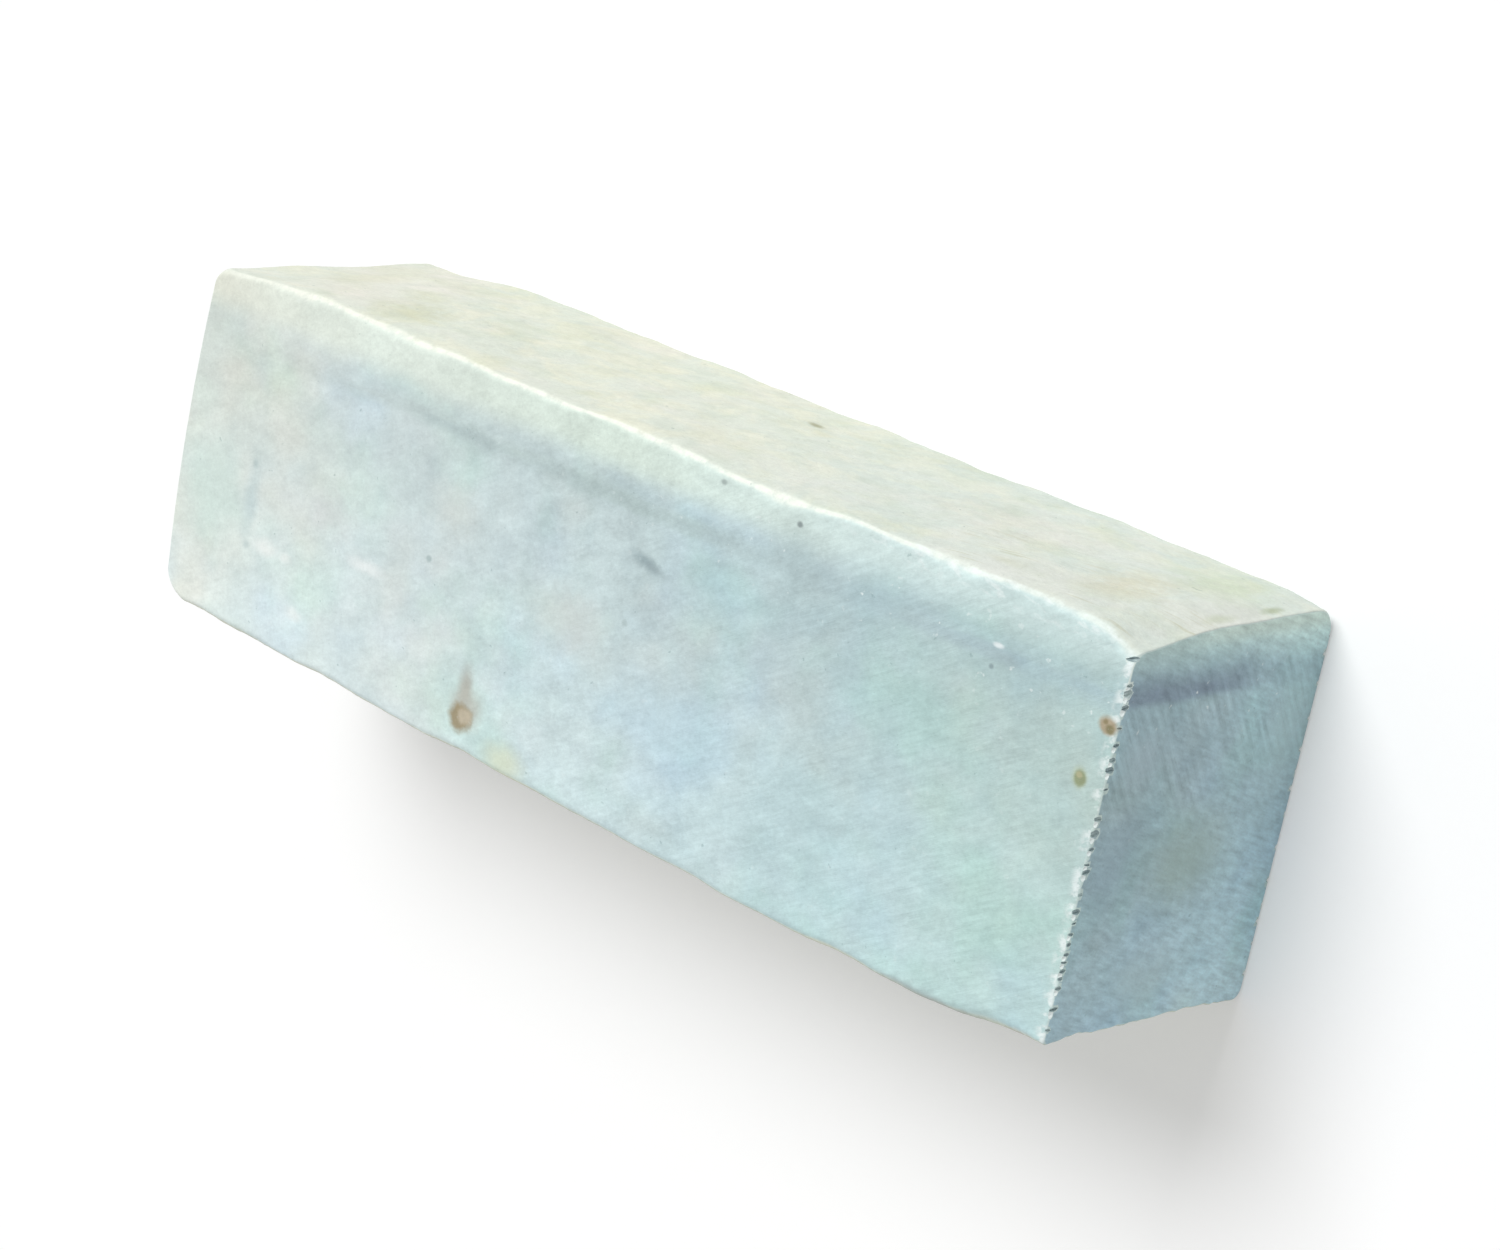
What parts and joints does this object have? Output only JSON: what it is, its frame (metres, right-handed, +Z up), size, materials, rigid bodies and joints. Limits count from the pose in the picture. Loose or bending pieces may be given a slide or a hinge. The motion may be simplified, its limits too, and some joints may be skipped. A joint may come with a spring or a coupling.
{
  "type": "slate pencil",
  "caption": "Short stout stick of pale natural stone for writing on a slate, with riven long sides, sawn faces and ends, and one saw-torn arris.",
  "frame": {"origin": "middle of the stick's box, on the sawn side that it rests on", "axes": "+X along the stick towards the end with the saw-torn arris, +Y towards the beige natural side, +Z up from the rest face"},
  "size_m": [0.065, 0.0218, 0.0168],
  "materials": {
    "natural_stone": "matt, fine-grained, pale blue-green stone with a cream rind along the natural sides"
  },
  "bodies": {
    "root": {"slate_pencil": "natural_stone"}
  },
  "joints": []
}
